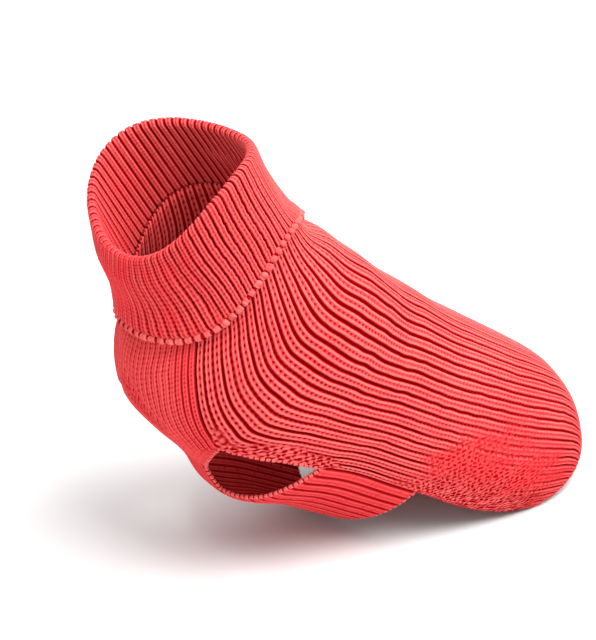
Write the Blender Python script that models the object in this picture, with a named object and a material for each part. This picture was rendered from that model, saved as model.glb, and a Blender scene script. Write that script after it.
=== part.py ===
"""Knitted dog sweater with a folded roll collar, kept in the hollow form it has when worn.

The garment is three knitted pieces: the collar (one tube folded over on itself), the back
panel, and the chest-and-belly panel that passes between the two leg holes. Each piece is a
closed wall. Its ribs are raised on the outside, and the inside is plain.

Axes: -X to the head, +X to the tail, -Y to the wearer's left, +Z up. The origin is the inside
of the back panel at the withers. Tables and sizes are in millimetres, meshes in metres.
"""
import bmesh
import bpy
import numpy as np

MM = 0.001

# cloth
WALL = 1.6                # cloth behind the ribs
RIB_HEIGHT = 1.4          # a rib's top above its grooves
LOW_RIB_HEIGHT = 0.8      # the same on the chest and belly, which are knitted finer
RIB_SHOULDER = 0.22       # where a rib's flat top starts, as a part of its width
SEAM_GAP = 0.3            # between two pieces that are sewn together
SEAM_SLANT = 1.2          # way round a ring for each way across a side seam
NECK_GAP = 0.42           # more at the neckline, where the two pieces' ribs have other chords
FOLD_GAP = 0.4            # between the collar's two layers
MERGE_DISTANCE = 1e-6     # metres, joins the blocks of one piece
SMOOTH_ANGLE = 35         # degrees, edges below this are shaded smooth

# ribs of each piece
BACK_RIBS = 45
STRIP_RIBS = 4            # between the leg holes
SIDE_RIBS = 10            # of the chest and of the belly, on each side of those
COLLAR_RIBS = 70

# rows of the collar, as heights from its lower edge to the fold, and turns round the fold
OUTER_HEIGHTS = (0, 0.25, 0.5, 0.75, 1)
PLAIN_HEIGHTS = (0, 0.5, 1)
FOLD_TURNS = (45, 90, 135)

# places along the body, counted in rows of the body table
NECK_SEAM = 0.0
HOLE_FRONT = 4.15         # the leg hole's front corner, on the side seam
STRIP_FRONT = 5.2         # where the strip between the legs is as narrow as it gets
STRIP_REAR = 5.85
HOLE_REAR = 6.2           # the leg hole's rear corner, on the side seam
BELLY_HEM = 8.6
BACK_HEM = 15.0
WITHERS = 2.0

# rows of faces in each of those stretches
CHEST_ROWS = 9
STRIP_ROWS = 3
HOLE_ROWS = 6
BELLY_ROWS = 4
RUMP_ROWS = 8
CROWDING = 0.4            # how much closer together the rows are at the leg hole's corner

STRIP_SHARE = 0.155       # the strip's part of the chest panel's half width

RING_COLUMNS = ("top_x", "top_z", "bottom_x", "bottom_z", "half_width", "squareness", "bow", "lean")

# One ring for each row, from the neckline to the hem at the tail. Top is on the spine and
# bottom on the middle of the chest or belly. Bow lifts both sides out of the ring's plane
# towards the head, and lean lifts the upper side and lowers the lower one.
BODY_RINGS = (
    (-22.5, 16.5, -109.0, -26.0, 52.5, 2.00, 10.0, 18.0),
    (-12.0, 4.5, -111.0, -40.0, 54.2, 2.05, 6.0, 11.0),
    (-1.0, 0.0, -115.5, -60.0, 58.0, 2.25, 3.0, 5.0),
    (9.0, -8.5, -111.5, -83.0, 60.5, 2.55, 3.0, 2.0),
    (20.0, -17.0, -97.5, -102.5, 62.5, 2.75, 3.0, 0.0),
    (32.5, -27.5, -80.5, -121.5, 63.5, 2.65, 2.0, 0.0),
    (46.5, -37.5, -66.0, -145.0, 64.0, 2.35, 1.0, 0.0),
    (61.0, -47.0, -37.5, -157.5, 65.0, 2.20, 0.0, 0.0),
    (80.0, -61.0, -9.0, -172.0, 66.5, 2.15, 0.0, 0.0),
    (101.0, -74.0, 17.0, -186.0, 68.0, 2.10, 0.0, 0.0),
    (122.0, -87.0, 43.0, -198.0, 69.0, 2.10, 0.0, 0.0),
    (143.0, -100.0, 68.0, -207.0, 69.0, 2.10, 0.0, 0.0),
    (161.5, -113.0, 91.0, -213.0, 66.5, 2.10, 0.0, 0.0),
    (175.0, -128.5, 110.0, -217.0, 60.5, 2.10, 0.0, 0.0),
    (183.5, -145.0, 126.0, -219.0, 52.5, 2.10, 0.0, 0.0),
    (190.5, -162.0, 138.0, -220.0, 43.5, 2.10, 0.0, 0.0),
)

# The collar's outer layer, from the fold down to its cast-off edge.
COLLAR_RINGS = (
    (-47.0, 58.0, -121.5, 4.0, 59.5, 2.10, 15.0, 4.0),
    (-37.5, 40.0, -121.5, -7.0, 59.0, 2.10, 14.0, 8.0),
    (-26.0, 24.0, -116.5, -22.0, 58.6, 2.05, 12.0, 15.0),
    (-16.5, 15.5, -115.5, -37.0, 59.0, 2.03, 10.0, 22.0),
)

# The back panel's side edge: a row of the body table, and how far round the ring it is,
# from 0 on the spine to 1 on the middle of the belly. The edge turns sharply at the leg
# hole's front corner. Its ribs turn with it, and the ribs near the spine keep to RIB_FLOW.
SIDE_EDGE_COLUMNS = ("along", "round")
SIDE_EDGE = (
    (0.0, 0.745), (1.0, 0.750), (2.0, 0.757), (3.0, 0.772), (3.7, 0.788), (4.15, 0.794),
    (4.5, 0.773), (4.85, 0.747), (5.3, 0.706), (5.75, 0.672), (6.2, 0.654), (7.0, 0.649),
    (8.0, 0.648), (9.0, 0.646), (10.0, 0.652), (11.2, 0.645), (12.1, 0.630), (13.0, 0.605),
    (15.0, 0.560),
)
RIB_FLOW_COLUMNS = ("along", "round")
RIB_FLOW = (
    (0.0, 0.745), (1.5, 0.748), (3.0, 0.742), (4.0, 0.720), (4.7, 0.710), (5.4, 0.686),
    (6.0, 0.665), (6.6, 0.663), (7.3, 0.666), (9.0, 0.655), (11.0, 0.645), (13.0, 0.605),
    (15.0, 0.560),
)
CORNER_REACH = 3          # higher values keep the turn nearer to the edge

# How much narrower the back panel's ribs are towards its sides than on the spine.
RIB_CROWDING_COLUMNS = ("along", "share")
RIB_CROWDING = ((0.0, 0.08), (2.0, 0.16), (8.0, 0.14), (11.0, 0.06), (15.0, 0.0))

# The hem over the rump: how far across the back panel, from its middle, and where it ends.
HEM_COLUMNS = ("across", "along")
HEM = ((0.0, 15.0), (0.35, 14.95), (0.6, 14.65), (0.8, 14.0), (0.92, 13.3), (1.0, 12.4))

# The leg hole's two lower edges: how far across the chest panel, and where the cloth ends.
HOLE_EDGE_COLUMNS = ("across", "front", "rear")
HOLE_EDGES = (
    (STRIP_SHARE, STRIP_FRONT, STRIP_REAR), (0.3, 4.93, 5.96), (0.5, 4.64, 6.05),
    (0.75, 4.36, 6.10), (1.0, HOLE_FRONT, HOLE_REAR),
)

RED = (0.730, 0.075, 0.073)
ROUGHNESS = 0.92

RING_STEPS = 160          # chords that measure the way round half a ring
NUDGE = 0.02              # steps of a slope, in rows of a table and as a part of the way round
SIDE_NUDGE = 0.005


def clear_scene():
    for old in list(bpy.data.objects):
        bpy.data.objects.remove(old, do_unlink=True)


def smooth_rows(table, along):
    """Catmull-Rom curve through a table's rows, read at any place between them."""
    rows = np.array(table, dtype=float)
    last = len(rows) - 1
    place = np.clip(np.asarray(along, dtype=float), 0, last)
    index = np.minimum(place.astype(int), last - 1)
    part = (place - index)[..., None]
    before = rows[np.maximum(index - 1, 0)]
    start = rows[index]
    end = rows[index + 1]
    after = rows[np.minimum(index + 2, last)]
    before = np.where((index == 0)[..., None], 2 * start - end, before)
    after = np.where((index == last - 1)[..., None], 2 * end - start, after)
    cubic = 3 * start - before - 3 * end + after
    square = 2 * before - 5 * start + 4 * end - after
    return 0.5 * (2 * start + (end - before) * part + square * part**2 + cubic * part**3)


def look_up(table, columns, name, place):
    """Smooth curve through a named column of a table, read at a place in its first column."""
    rows = np.array(table)
    known = rows[:, 0]
    values = rows[:, columns.index(name)]
    slopes = np.gradient(values, known)
    place = np.clip(place, known[0], known[-1])
    index = np.clip(np.searchsorted(known, place, side="right") - 1, 0, len(known) - 2)
    width = known[index + 1] - known[index]
    part = (place - known[index]) / width
    rise = values[index + 1] - values[index]
    first = slopes[index] * width - rise
    second = rise - slopes[index + 1] * width
    bend = (1 - part) * first + part * second
    return values[index] + rise * part + part * (1 - part) * bend


def half_rings(table, along):
    """Points from the spine to the middle of the belly, and how far along the cloth they are."""
    columns = np.moveaxis(smooth_rows(table, along), -1, 0)[..., None]
    ring = dict(zip(RING_COLUMNS, columns))
    angle = np.linspace(0, np.pi, RING_STEPS + 1)
    cosine = np.cos(angle)
    sine = np.sin(angle)
    power = 2 / ring["squareness"]
    drop = (1 - np.sign(cosine) * np.abs(cosine) ** power) / 2
    chord_x = ring["bottom_x"] - ring["top_x"]
    chord_z = ring["bottom_z"] - ring["top_z"]
    chord = np.hypot(chord_x, chord_z)
    lift = (ring["bow"] + ring["lean"] * cosine) * sine**2
    x = ring["top_x"] + chord_x * drop + lift * chord_z / chord
    y = -ring["half_width"] * np.abs(sine) ** power
    z = ring["top_z"] + chord_z * drop - lift * chord_x / chord
    points = np.stack(np.broadcast_arrays(x, y, z), axis=-1)
    steps = np.linalg.norm(np.diff(points, axis=-2), axis=-1)
    start = np.zeros(steps.shape[:-1] + (1,))
    walked = np.concatenate([start, np.cumsum(steps, axis=-1)], axis=-1)
    return points, walked


def ring_surface(table, along, round_share):
    """Points of the surface through a table's rings; both arguments are arrays of one shape.

    round_share runs from 0 on the spine to 1 on the middle of the belly, measured along the
    cloth, and is negative on the wearer's right.
    """
    points, walked = half_rings(table, along)
    wanted = np.abs(round_share)[..., None] * walked[..., -1:]
    index = np.clip((walked < wanted).sum(axis=-1), 1, RING_STEPS)[..., None]
    low = np.take_along_axis(walked, index - 1, axis=-1)
    high = np.take_along_axis(walked, index, axis=-1)
    part = (wanted - low) / (high - low)
    start = np.take_along_axis(points, (index - 1)[..., None], axis=-2)[..., 0, :]
    end = np.take_along_axis(points, index[..., None], axis=-2)[..., 0, :]
    found = start + (end - start) * part
    found[..., 1] *= np.where(round_share < 0, -1, 1)
    return found


def outward(table, along, round_share):
    """Unit normals of the same surface, away from the hollow."""
    last = len(table) - 1
    ahead = np.minimum(along + NUDGE, last)
    behind = np.maximum(along - NUDGE, 0)
    step = SIDE_NUDGE
    length = ring_surface(table, ahead, round_share) - ring_surface(table, behind, round_share)
    near = np.clip(np.abs(round_share), step, 1 - step) * np.where(round_share < 0, -1, 1)
    across = ring_surface(table, along, near + step) - ring_surface(table, along, near - step)
    normal = np.cross(across, length)
    middle = np.abs(round_share) < step
    normal[..., 1] = np.where(middle | (np.abs(round_share) > 1 - step), 0, normal[..., 1])
    normal /= np.linalg.norm(normal, axis=-1, keepdims=True)
    return normal


def body_surface(along, round_share, depth):
    """The body's cloth at a depth under the rib tops."""
    points = ring_surface(BODY_RINGS, along, round_share)
    return points - outward(BODY_RINGS, along, round_share) * depth[..., None]


def rib_columns(ribs):
    """Places across a stretch of ribs, from 0 to 1, three for each rib, and 1 in its grooves."""
    places = []
    grooves = []
    for rib in range(ribs):
        places += [rib, rib + RIB_SHOULDER, rib + 1 - RIB_SHOULDER]
        grooves += [1, 0, 0]
    return np.array(places + [ribs]) / ribs, np.array(grooves + [1])


def stretch(start, end, rows, crowding=0.0):
    """Places from start to end, closer together at the end where crowding is above 0."""
    share = np.linspace(0, 1, rows + 1)
    share = share * (1 + crowding * (1 - share))
    return start + (end - start) * share


def add_points(mesh, grid):
    return [[mesh.verts.new(point * MM) for point in row] for row in grid]


def add_quads(mesh, grid, turned=False):
    for first, second in zip(grid, grid[1:]):
        for column in range(len(first) - 1):
            corners = [first[column], first[column + 1], second[column + 1], second[column]]
            mesh.faces.new(corners[::-1] if turned else corners)


def add_ribbed_rim(mesh, ribbed, plain):
    """Joins a row with three points for each rib to a plain row with one."""
    for rib in range(len(plain) - 1):
        groove, rise, fall, next_groove = ribbed[3 * rib : 3 * rib + 4]
        mesh.faces.new([plain[rib], rise, groove])
        mesh.faces.new([plain[rib], plain[rib + 1], fall, rise])
        mesh.faces.new([plain[rib + 1], next_groove, fall])


def add_side(mesh, outer, inner, column, rows):
    for row in range(*rows):
        here = [outer[row][column], inner[row][column]]
        next_two = [inner[row + 1][column], outer[row + 1][column]]
        mesh.faces.new(here + next_two)


def add_block(mesh, along, round_share, ribs, rib_height, low=None, high=None):
    """A ribbed stretch of the body's wall. low and high give the rows whose side is open."""
    depths = rib_columns(ribs)[1] * rib_height
    outer_depth = np.broadcast_to(depths, along.shape)
    outer = add_points(mesh, body_surface(along, round_share, outer_depth))
    grooves = slice(None, None, 3)
    inner_along = along[:, grooves]
    inner_depth = np.full(inner_along.shape, RIB_HEIGHT + WALL)
    inner = add_points(mesh, body_surface(inner_along, round_share[:, grooves], inner_depth))
    add_quads(mesh, outer)
    add_quads(mesh, inner, turned=True)
    add_ribbed_rim(mesh, outer[0], inner[0])
    add_ribbed_rim(mesh, outer[-1], inner[-1])
    if low:
        add_side(mesh, outer, inner, 0, low)
    if high:
        add_side(mesh, outer, inner, -1, high)


def seam_allowance(along):
    """Half the gap between two panels, as a part of the way round half a ring."""
    _, walked = half_rings(BODY_RINGS, along)
    return 0.5 * SEAM_GAP * SEAM_SLANT / walked[..., -1]


def make_object(name, mesh, colour):
    bmesh.ops.remove_doubles(mesh, verts=mesh.verts, dist=MERGE_DISTANCE)
    bmesh.ops.recalc_face_normals(mesh, faces=mesh.faces)
    bmesh.ops.translate(mesh, verts=mesh.verts, vec=-withers_point())
    data = bpy.data.meshes.new(name)
    mesh.to_mesh(data)
    mesh.free()
    data.shade_smooth()
    data.set_sharp_from_angle(angle=np.radians(SMOOTH_ANGLE))
    piece = bpy.data.objects.new(name, data)
    bpy.context.collection.objects.link(piece)
    material = bpy.data.materials.new(name + "_yarn")
    material.use_nodes = True
    shader = material.node_tree.nodes["Principled BSDF"]
    shader.inputs["Base Color"].default_value = (*colour, 1)
    shader.inputs["Roughness"].default_value = ROUGHNESS
    shader.inputs["Metallic"].default_value = 0
    data.materials.append(material)
    return piece


def withers_point():
    """Inside of the back panel on the spine, in metres; it becomes the origin."""
    along = np.array([WITHERS])
    point = body_surface(along, np.zeros(1), np.array([RIB_HEIGHT + WALL]))[0]
    return point * MM


def make_back_panel():
    """Runs from the neck seam over the shoulders and back to the hem at the tail."""
    across, _ = rib_columns(BACK_RIBS)
    across = 2 * across - 1
    rows = np.concatenate([
        stretch(NECK_SEAM, HOLE_FRONT, CHEST_ROWS, CROWDING),
        stretch(HOLE_FRONT, HOLE_REAR, HOLE_ROWS, -CROWDING)[1:],
        stretch(HOLE_REAR, BELLY_HEM, BELLY_ROWS)[1:],
        stretch(BELLY_HEM, BACK_HEM, RUMP_ROWS)[1:],
    ])
    hem = look_up(HEM, HEM_COLUMNS, "along", np.abs(across))
    rump_share = np.clip((rows - BELLY_HEM) / (BACK_HEM - BELLY_HEM), 0, 1)[:, None]
    along = rows[:, None] + rump_share * (hem[None, :] - BACK_HEM)
    at_edge = look_up(SIDE_EDGE, SIDE_EDGE_COLUMNS, "round", along) - seam_allowance(along)
    at_spine = look_up(RIB_FLOW, RIB_FLOW_COLUMNS, "round", along)
    weight = np.abs(across[None, :]) ** CORNER_REACH
    crowding = look_up(RIB_CROWDING, RIB_CROWDING_COLUMNS, "share", along)
    spread = across[None, :] * (1 + crowding * (1 - across[None, :] ** 2))
    round_share = spread * (at_spine + weight * (at_edge - at_spine))
    mesh = bmesh.new()
    all_rows = (0, len(rows) - 1)
    add_block(mesh, along, round_share, BACK_RIBS, RIB_HEIGHT, low=all_rows, high=all_rows)
    return make_object("back_panel", mesh, RED)


def chest_round(along, across):
    """Way round the ring for a place across the chest panel, 0 on its middle, 1 on its seam."""
    edge = look_up(SIDE_EDGE, SIDE_EDGE_COLUMNS, "round", along)
    before = look_up(SIDE_EDGE, SIDE_EDGE_COLUMNS, "round", HOLE_FRONT)
    behind = look_up(SIDE_EDGE, SIDE_EDGE_COLUMNS, "round", HOLE_REAR)
    bridged = before + (behind - before) * (along - HOLE_FRONT) / (HOLE_REAR - HOLE_FRONT)
    edge = np.where((along > HOLE_FRONT) & (along < HOLE_REAR), bridged, edge)
    edge = edge + seam_allowance(along)
    return 1 - across * (1 - edge)


def make_chest_and_belly_panel():
    """Chest, the strip between the leg holes, and belly, in one piece."""
    strip_ribs = STRIP_RIBS // 2
    strip = STRIP_SHARE * rib_columns(strip_ribs)[0]
    strip_rows = np.concatenate([
        stretch(NECK_SEAM, STRIP_FRONT, CHEST_ROWS, CROWDING),
        stretch(STRIP_FRONT, STRIP_REAR, STRIP_ROWS)[1:],
        stretch(STRIP_REAR, BELLY_HEM, BELLY_ROWS)[1:],
    ])
    strip_along = np.broadcast_to(strip_rows[:, None], (len(strip_rows), len(strip)))
    legs = (CHEST_ROWS, CHEST_ROWS + STRIP_ROWS)

    sides = STRIP_SHARE + (1 - STRIP_SHARE) * rib_columns(SIDE_RIBS)[0]
    front = look_up(HOLE_EDGES, HOLE_EDGE_COLUMNS, "front", sides)
    rear = look_up(HOLE_EDGES, HOLE_EDGE_COLUMNS, "rear", sides)
    chest_share = stretch(0, 1, CHEST_ROWS, CROWDING)[:, None]
    belly_share = stretch(0, 1, BELLY_ROWS)[:, None]
    chest_along = NECK_SEAM + chest_share * (front - NECK_SEAM)
    belly_along = rear + belly_share * (BELLY_HEM - rear)

    mesh = bmesh.new()
    blocks = (
        (strip_along, strip, strip_ribs, legs),
        (chest_along, sides, SIDE_RIBS, (0, CHEST_ROWS)),
        (belly_along, sides, SIDE_RIBS, (0, BELLY_ROWS)),
    )
    for along, across, ribs, open_rows in blocks:
        placed = chest_round(along, across)
        for side in (-1, 1):
            add_block(mesh, along, side * placed, ribs, LOW_RIB_HEIGHT, high=open_rows)
    return make_object("chest_and_belly_panel", mesh, RED)


def make_collar():
    """One ribbed tube: up from the neck seam, folded at the top, and down outside itself."""
    ribs = COLLAR_RIBS
    places, grooves = rib_columns(ribs)
    places = 2 * places[:-1] - 1
    depths = grooves[:-1] * RIB_HEIGHT
    plain = places[::3]
    last = len(COLLAR_RINGS) - 1
    double = RIB_HEIGHT + WALL + FOLD_GAP
    whole = double + WALL

    def outer_layer(height, round_share, depth):
        along = np.full(round_share.shape, (1 - height) * last)
        points = ring_surface(COLLAR_RINGS, along, round_share)
        depth = np.broadcast_to(depth, round_share.shape)[..., None]
        return points - outward(COLLAR_RINGS, along, round_share) * depth

    def uphill(table, round_share):
        """Directions up the cloth at a table's first row."""
        first = np.zeros(round_share.shape)
        above = ring_surface(table, first, round_share)
        step = above - ring_surface(table, first + NUDGE, round_share)
        return step / np.linalg.norm(step, axis=-1, keepdims=True)

    def folded(turn, round_share, depth):
        """Round the fold, from 0 on the outside to 180 degrees on the inside."""
        middle = whole / 2
        radius = middle - depth
        inward = middle - radius * np.cos(np.radians(turn))
        rise = radius * np.sin(np.radians(turn))
        return outer_layer(1, round_share, inward) + uphill(COLLAR_RINGS, round_share) * rise[..., None]

    def inner_layer(height, depth):
        """From the neck seam, height 0, to the fold, height 1."""
        neckline = np.full(plain.shape, NECK_SEAM)
        seam = body_surface(neckline, plain, np.full(plain.shape, depth))
        seam = seam + uphill(BODY_RINGS, plain) * NECK_GAP
        fold = outer_layer(1, plain, double + depth)
        return seam + (fold - seam) * height

    ribbed_rows = [outer_layer(height, places, depths) for height in OUTER_HEIGHTS]
    ribbed_rows += [folded(turn, places, depths) for turn in FOLD_TURNS]
    plain_rows = [inner_layer(height, WALL) for height in PLAIN_HEIGHTS[::-1]]
    plain_rows += [inner_layer(height, 0) for height in PLAIN_HEIGHTS]
    plain_rows += [outer_layer(height, plain, RIB_HEIGHT + WALL) for height in PLAIN_HEIGHTS[::-1]]

    mesh = bmesh.new()
    ribbed = [row + row[:1] for row in add_points(mesh, ribbed_rows)]
    smooth = [row + row[:1] for row in add_points(mesh, plain_rows)]
    add_quads(mesh, ribbed)
    add_quads(mesh, smooth)
    add_ribbed_rim(mesh, ribbed[-1], smooth[0])
    add_ribbed_rim(mesh, ribbed[0], smooth[-1])
    return make_object("collar", mesh, RED)


def main():
    clear_scene()
    make_collar()
    make_back_panel()
    make_chest_and_belly_panel()


main()
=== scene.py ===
import math
import bmesh
import bpy
import numpy as np
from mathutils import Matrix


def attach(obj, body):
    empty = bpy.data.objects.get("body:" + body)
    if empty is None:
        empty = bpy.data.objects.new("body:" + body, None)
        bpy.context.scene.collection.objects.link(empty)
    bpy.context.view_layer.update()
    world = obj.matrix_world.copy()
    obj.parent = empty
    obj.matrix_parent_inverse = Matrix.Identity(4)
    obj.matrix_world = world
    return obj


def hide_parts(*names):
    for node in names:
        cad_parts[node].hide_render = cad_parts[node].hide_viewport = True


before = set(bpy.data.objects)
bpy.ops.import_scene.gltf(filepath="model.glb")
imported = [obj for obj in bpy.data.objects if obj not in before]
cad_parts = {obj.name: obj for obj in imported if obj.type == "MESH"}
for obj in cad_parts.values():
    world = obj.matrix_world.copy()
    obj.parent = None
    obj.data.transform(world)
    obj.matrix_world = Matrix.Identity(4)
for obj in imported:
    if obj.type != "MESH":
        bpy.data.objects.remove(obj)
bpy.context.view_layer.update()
bpy.ops.object.select_all(action="DESELECT")
print("packed sweater loaded")

mm = 0.001
pointValues = ("pit", "moss", "flat")

# one ring for each row of the body, from the neckline to the hem at the tail, in mm
ringColumns = ("topX", "topZ", "bottomX", "bottomZ", "halfWidth", "squareness", "bow", "lean")
bodyRings = (
    (-22.5, 16.5, -109.0, -26.0, 52.5, 2.00, 10.0, 18.0),
    (-12.0, 4.5, -111.0, -40.0, 54.2, 2.05, 6.0, 11.0),
    (-1.0, 0.0, -115.5, -60.0, 58.0, 2.25, 3.0, 5.0),
    (9.0, -8.5, -111.5, -83.0, 60.5, 2.55, 3.0, 2.0),
    (20.0, -17.0, -97.5, -102.5, 62.5, 2.75, 3.0, 0.0),
    (32.5, -27.5, -80.5, -121.5, 63.5, 2.65, 2.0, 0.0),
    (46.5, -37.5, -66.0, -145.0, 64.0, 2.35, 1.0, 0.0),
    (61.0, -47.0, -37.5, -157.5, 65.0, 2.20, 0.0, 0.0),
    (80.0, -61.0, -9.0, -172.0, 66.5, 2.15, 0.0, 0.0),
    (101.0, -74.0, 17.0, -186.0, 68.0, 2.10, 0.0, 0.0),
    (122.0, -87.0, 43.0, -198.0, 69.0, 2.10, 0.0, 0.0),
    (143.0, -100.0, 68.0, -207.0, 69.0, 2.10, 0.0, 0.0),
    (161.5, -113.0, 91.0, -213.0, 66.5, 2.10, 0.0, 0.0),
    (175.0, -128.5, 110.0, -217.0, 60.5, 2.10, 0.0, 0.0),
    (183.5, -145.0, 126.0, -219.0, 52.5, 2.10, 0.0, 0.0),
    (190.5, -162.0, 138.0, -220.0, 43.5, 2.10, 0.0, 0.0),
)
# the collar's outer layer, from the fold down to its cast-off edge
collarRings = (
    (-47.0, 58.0, -121.5, 4.0, 59.5, 2.10, 15.0, 4.0),
    (-37.5, 40.0, -121.5, -7.0, 59.0, 2.10, 14.0, 8.0),
    (-26.0, 24.0, -116.5, -22.0, 58.6, 2.05, 12.0, 15.0),
    (-16.5, 15.5, -115.5, -37.0, 59.0, 2.03, 10.0, 22.0),
)
# row along the body, and how far round half a ring: 0 on the spine, 1 under the belly
# the first table is the back panel's side edge, the second how the ribs nearer the spine spread
sideEdge = (
    (0.0, 0.745), (1.0, 0.750), (2.0, 0.757), (3.0, 0.772), (3.7, 0.788), (4.15, 0.794),
    (4.5, 0.773), (4.85, 0.747), (5.3, 0.706), (5.75, 0.672), (6.2, 0.654), (7.0, 0.649),
    (8.0, 0.648), (9.0, 0.646), (10.0, 0.652), (11.2, 0.645), (12.1, 0.630), (13.0, 0.605),
    (15.0, 0.560),
)
ribFlow = (
    (0.0, 0.745), (1.5, 0.748), (3.0, 0.742), (4.0, 0.720), (4.7, 0.710), (5.4, 0.686), (6.0, 0.665),
    (6.6, 0.663), (7.3, 0.666), (9.0, 0.655), (11.0, 0.645), (13.0, 0.605), (15.0, 0.560),
)
# how far across the back panel, and the row where it ends
rumpHem = ((0.0, 15.0), (0.35, 14.95), (0.6, 14.65), (0.8, 14.0), (0.92, 13.3), (1.0, 12.4))
# how far across the chest panel, and the rows where the leg hole starts and ends
holeFront = ((0.155, 5.2), (0.3, 4.93), (0.5, 4.64), (0.75, 4.36), (1.0, 4.15))
holeRear = ((0.155, 5.85), (0.3, 5.96), (0.5, 6.05), (0.75, 6.10), (1.0, 6.2))
# all in mm, but for seamSlant, which widens a gap because the edges meet at a slant
cloth = {"wall": 1.6, "ribHeight": 1.4, "seamGap": 0.3, "seamSlant": 1.2, "neckGap": 0.42, "foldGap": 0.4}
innerDepth = cloth["wall"] + cloth["ribHeight"]


def throughRows(table, along):  # a smooth curve through a table's rows
    rows = np.array(table, dtype=float)
    last = len(rows) - 1
    index = np.minimum(along.astype(int), last - 1)
    part = (along - index)[..., None]
    start, end = rows[index], rows[index + 1]
    before = np.where((index == 0)[..., None], 2 * start - end, rows[np.maximum(index - 1, 0)])
    after = np.where((index == last - 1)[..., None], 2 * end - start, rows[np.minimum(index + 2, last)])
    cubic = 3 * start - before - 3 * end + after
    square = 2 * before - 5 * start + 4 * end - after
    return 0.5 * (2 * start + (end - before) * part + square * part**2 + cubic * part**3)


def follow(table, place):  # a smooth curve through (place, value) pairs
    known, values = np.array(table, dtype=float).T
    slopes = np.gradient(values, known)
    place = np.clip(place, known[0], known[-1])
    index = np.clip(np.searchsorted(known, place, side="right") - 1, 0, len(known) - 2)
    width = known[index + 1] - known[index]
    part = (place - known[index]) / width
    rise = values[index + 1] - values[index]
    first = slopes[index] * width - rise
    second = rise - slopes[index + 1] * width
    return values[index] + rise * part + part * (1 - part) * ((1 - part) * first + part * second)


def makeSkin(table, alongSteps, roundSteps, chords):  # points and normals all over a ring surface
    last = len(table) - 1
    along = np.linspace(0, last, alongSteps * last + 1)
    columns = np.moveaxis(throughRows(table, along), -1, 0)[..., None]
    ring = dict(zip(ringColumns, columns))
    angle = np.linspace(0, np.pi, chords + 1)
    cosine, sine = np.cos(angle), np.sin(angle)
    power = 2 / ring["squareness"]
    drop = (1 - np.sign(cosine) * np.abs(cosine) ** power) / 2
    chordX = ring["bottomX"] - ring["topX"]
    chordZ = ring["bottomZ"] - ring["topZ"]
    chord = np.hypot(chordX, chordZ)
    lift = (ring["bow"] + ring["lean"] * cosine) * sine**2
    x = ring["topX"] + chordX * drop + lift * chordZ / chord
    y = -ring["halfWidth"] * np.abs(sine) ** power
    z = ring["topZ"] + chordZ * drop - lift * chordX / chord
    rings = np.stack(np.broadcast_arrays(x, y, z), axis=-1)
    steps = np.linalg.norm(np.diff(rings, axis=1), axis=-1)
    walked = np.concatenate([np.zeros((len(along), 1)), np.cumsum(steps, axis=1)], axis=1)
    wanted = np.linspace(0, 1, roundSteps + 1)
    points = np.array([
        [np.interp(wanted * walk[-1], walk, line) for line in row.T] for row, walk in zip(rings, walked)
    ]).transpose(0, 2, 1)
    mirror = np.array([1, -1, 1])
    wide = np.concatenate([points[:, 2:0:-1] * mirror, points, points[:, -2:-4:-1] * mirror], axis=1)
    across = np.gradient(wide, axis=1)[:, 2:-2]
    normals = np.cross(across, np.gradient(points, axis=0))
    normals /= np.linalg.norm(normals, axis=-1, keepdims=True)
    return {"points": points, "normals": normals, "halfRound": walked[:, -1],
            "alongSteps": alongSteps, "roundSteps": roundSteps}


def readSkin(skin, along, roundShare):
    points, normals = skin["points"], skin["normals"]
    i = np.asarray(along) * skin["alongSteps"]
    j = np.abs(roundShare) * skin["roundSteps"]
    i0 = np.clip(i.astype(int), 0, points.shape[0] - 2)
    j0 = np.clip(j.astype(int), 0, points.shape[1] - 2)
    s, t = (i - i0)[..., None], (j - j0)[..., None]
    side = np.where(np.asarray(roundShare) < 0, -1.0, 1.0)
    found = []
    for grid in (points, normals):
        near = grid[i0, j0] * (1 - t) + grid[i0, j0 + 1] * t
        far = grid[i0 + 1, j0] * (1 - t) + grid[i0 + 1, j0 + 1] * t
        value = near * (1 - s) + far * s
        value[..., 1] *= side
        found.append(value)
    found[1] /= np.linalg.norm(found[1], axis=-1, keepdims=True)
    return found


def halfRound(skin, along):  # length of half a ring in mm
    rows = np.arange(len(skin["halfRound"])) / skin["alongSteps"]
    return np.interp(along, rows, skin["halfRound"])


def onSkin(skin, along, roundShare, depth):
    points, normals = readSkin(skin, along, roundShare)
    return points - normals * np.asarray(depth)[..., None]


bodySkin = makeSkin(bodyRings, alongSteps=20, roundSteps=240, chords=400)
collarSkin = makeSkin(collarRings, alongSteps=40, roundSteps=240, chords=400)
lastRow = len(bodyRings) - 1
withersRow = 2.0  # the origin is on the inside of the cloth there, on the spine
withers = onSkin(bodySkin, np.array([withersRow]), np.zeros(1), np.array([innerDepth]))[0]
print("surfaces measured")

# strandPlace counts from a rib's middle to its groove, and pressed is the relief under the collar
ribShape = {
    "strandPlace": 0.42, "grooveSharpness": 2.0, "creaseSharpness": 1.6, "pressedDepth": 0.15, "pressedRelief": 0.6,
}
# a fold's bow to one side, and how far past its ends and before them it fades, as shares of its length
foldShape = {"sunkBow": 0.036, "raisedBow": -0.024, "fadeOutside": 0.22, "fadeInside": 0.25}


def softStep(low, high, value):
    share = np.clip((value - low) / (high - low), 0, 1)
    return share * share * (3 - 2 * share)


def between(start, full, fade, end, value):  # rises from start to full, and falls from fade to end
    return softStep(start, full, value) * (1 - softStep(fade, end, value))


def spot(value, middle, width):
    return np.exp(-(((value - middle) / width) ** 2))


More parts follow.
